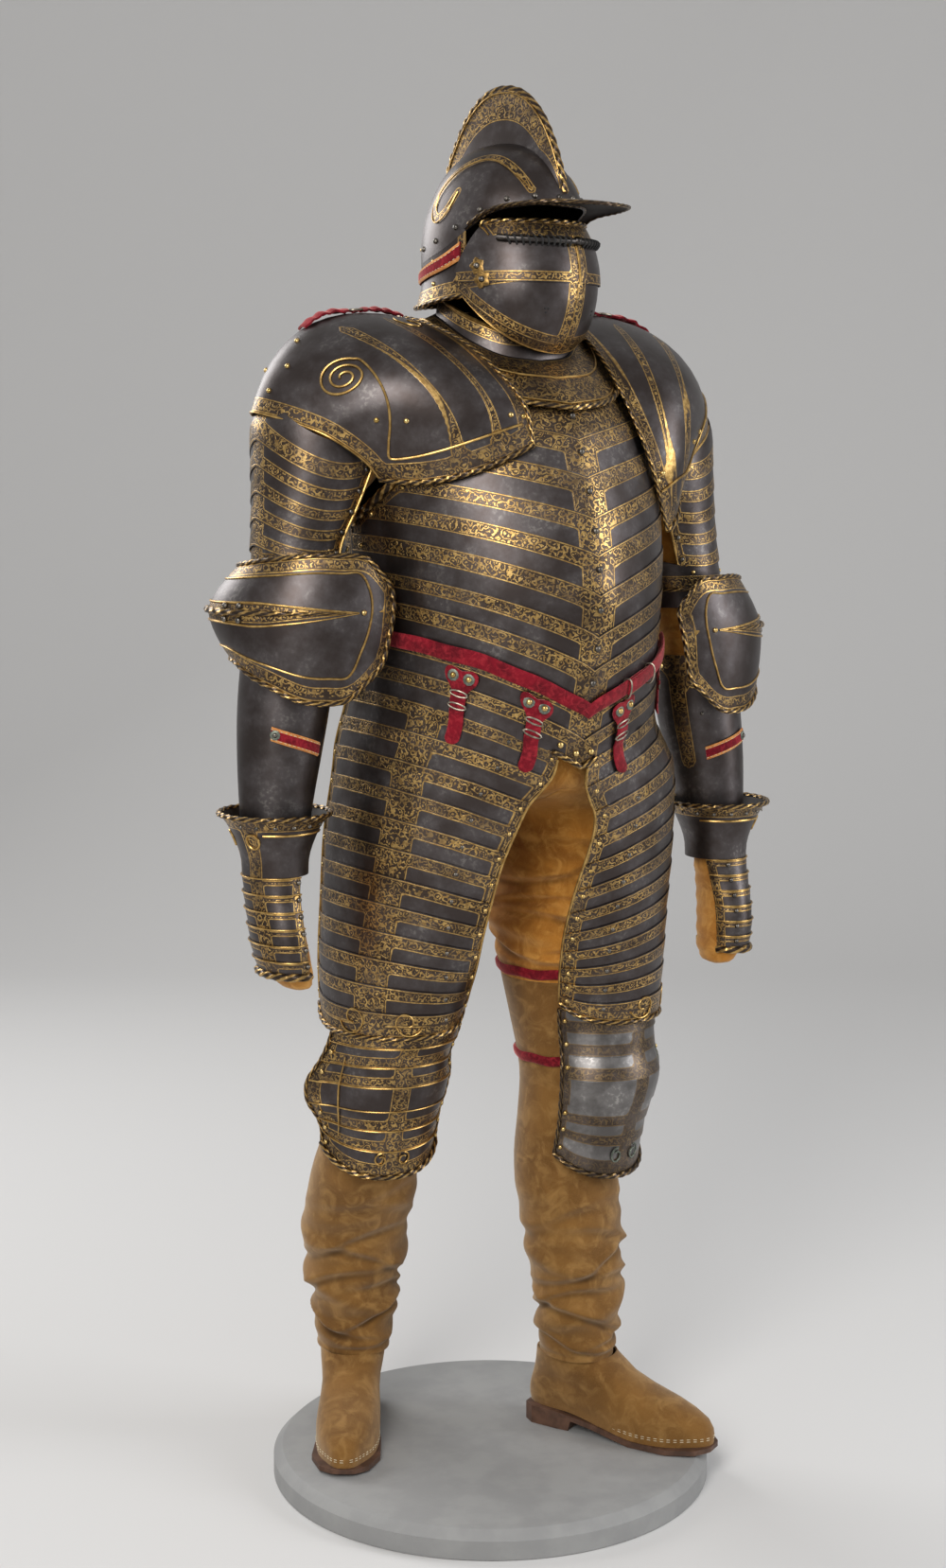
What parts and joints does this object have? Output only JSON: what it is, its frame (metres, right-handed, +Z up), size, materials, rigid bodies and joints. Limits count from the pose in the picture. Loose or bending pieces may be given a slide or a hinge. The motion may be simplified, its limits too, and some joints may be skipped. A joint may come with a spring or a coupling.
{
  "type": "suit of field armour on a round display base",
  "caption": "Russet and gilt field armour with burgonet, falling face defence and long tassets, worn over suede breeches and tall boots on a round base.",
  "frame": {"origin": "centre of the base's underside, on the floor", "axes": "+Z up, -Y the way the suit faces, -X the wearer's right"},
  "size_m": [0.8181, 0.6032, 1.8636],
  "materials": {
    "russet_steel": "dark russet steel with etched and gilt bands and roped edges",
    "worn_steel": "worn grey steel with traces of gilding",
    "suede": "ochre suede, napped",
    "boot_suede": "tan suede with pale stitching",
    "sole_leather": "dark brown smooth sole leather",
    "red_velvet": "crimson velvet pile",
    "base_paint": "matt grey paint"
  },
  "bodies": {
    "root": {"base_disc": "base_paint", "boot_foot_left": "boot_suede", "boot_foot_right": "boot_suede", "boot_shaft_left": "boot_suede", "boot_shaft_right": "boot_suede", "boot_sole_left": "sole_leather", "boot_sole_right": "sole_leather", "breeches_left": "suede", "breeches_right": "suede", "glove_left": "suede", "glove_right": "suede", "sleeve_left": "suede", "sleeve_right": "suede", "breastplate": "russet_steel", "backplate": "russet_steel", "fauld": "russet_steel", "culet": "russet_steel", "gorget_collar": "russet_steel", "gorget_plate": "russet_steel", "helmet_skull": "russet_steel", "helmet_peak": "russet_steel", "helmet_neck_guard": "russet_steel", "buffe_lower": "russet_steel", "pauldron_left": "russet_steel", "pauldron_right": "russet_steel", "arm_lames_left": "russet_steel", "arm_lames_right": "russet_steel", "upper_cannon_left": "russet_steel", "upper_cannon_right": "russet_steel", "couter_left": "russet_steel", "couter_right": "russet_steel", "lower_cannon_left": "russet_steel", "lower_cannon_right": "russet_steel", "gauntlet_cuff_left": "russet_steel", "gauntlet_cuff_right": "russet_steel", "gauntlet_hand_left": "russet_steel", "gauntlet_hand_right": "russet_steel", "tasset_left": "russet_steel", "tasset_right": "russet_steel", "poleyn_left": "worn_steel", "poleyn_right": "russet_steel", "belt": "red_velvet", "belt_tail": "red_velvet", "tasset_strap_1": "red_velvet", "tasset_strap_2": "red_velvet", "tasset_strap_3": "red_velvet", "tasset_strap_4": "red_velvet", "tasset_strap_5": "red_velvet", "shoulder_strap_left": "red_velvet", "shoulder_strap_right": "red_velvet", "forearm_strap_left": "red_velvet", "forearm_strap_right": "red_velvet", "nape_strap": "red_velvet", "garter_upper_left": "red_velvet", "garter_upper_right": "red_velvet", "garter_lower_left": "red_velvet", "garter_lower_right": "red_velvet"},
    "face_plate_upper": {"buffe_upper": "russet_steel"},
    "face_plate_middle": {"buffe_middle": "russet_steel"}
  },
  "joints": [
    {"name": "upper_face_plate_falls", "type": "hinge", "parent": "face_plate_middle", "child": "face_plate_upper", "pos_m": [0, -0.035, 1.614], "axis": [0.9659, 0.2588, 0], "range_deg": [0, 32]},
    {"name": "middle_face_plate_falls", "type": "hinge", "parent": "root", "child": "face_plate_middle", "pos_m": [0, -0.035, 1.614], "axis": [0.9659, 0.2588, 0], "range_deg": [0, 6]}
  ]
}
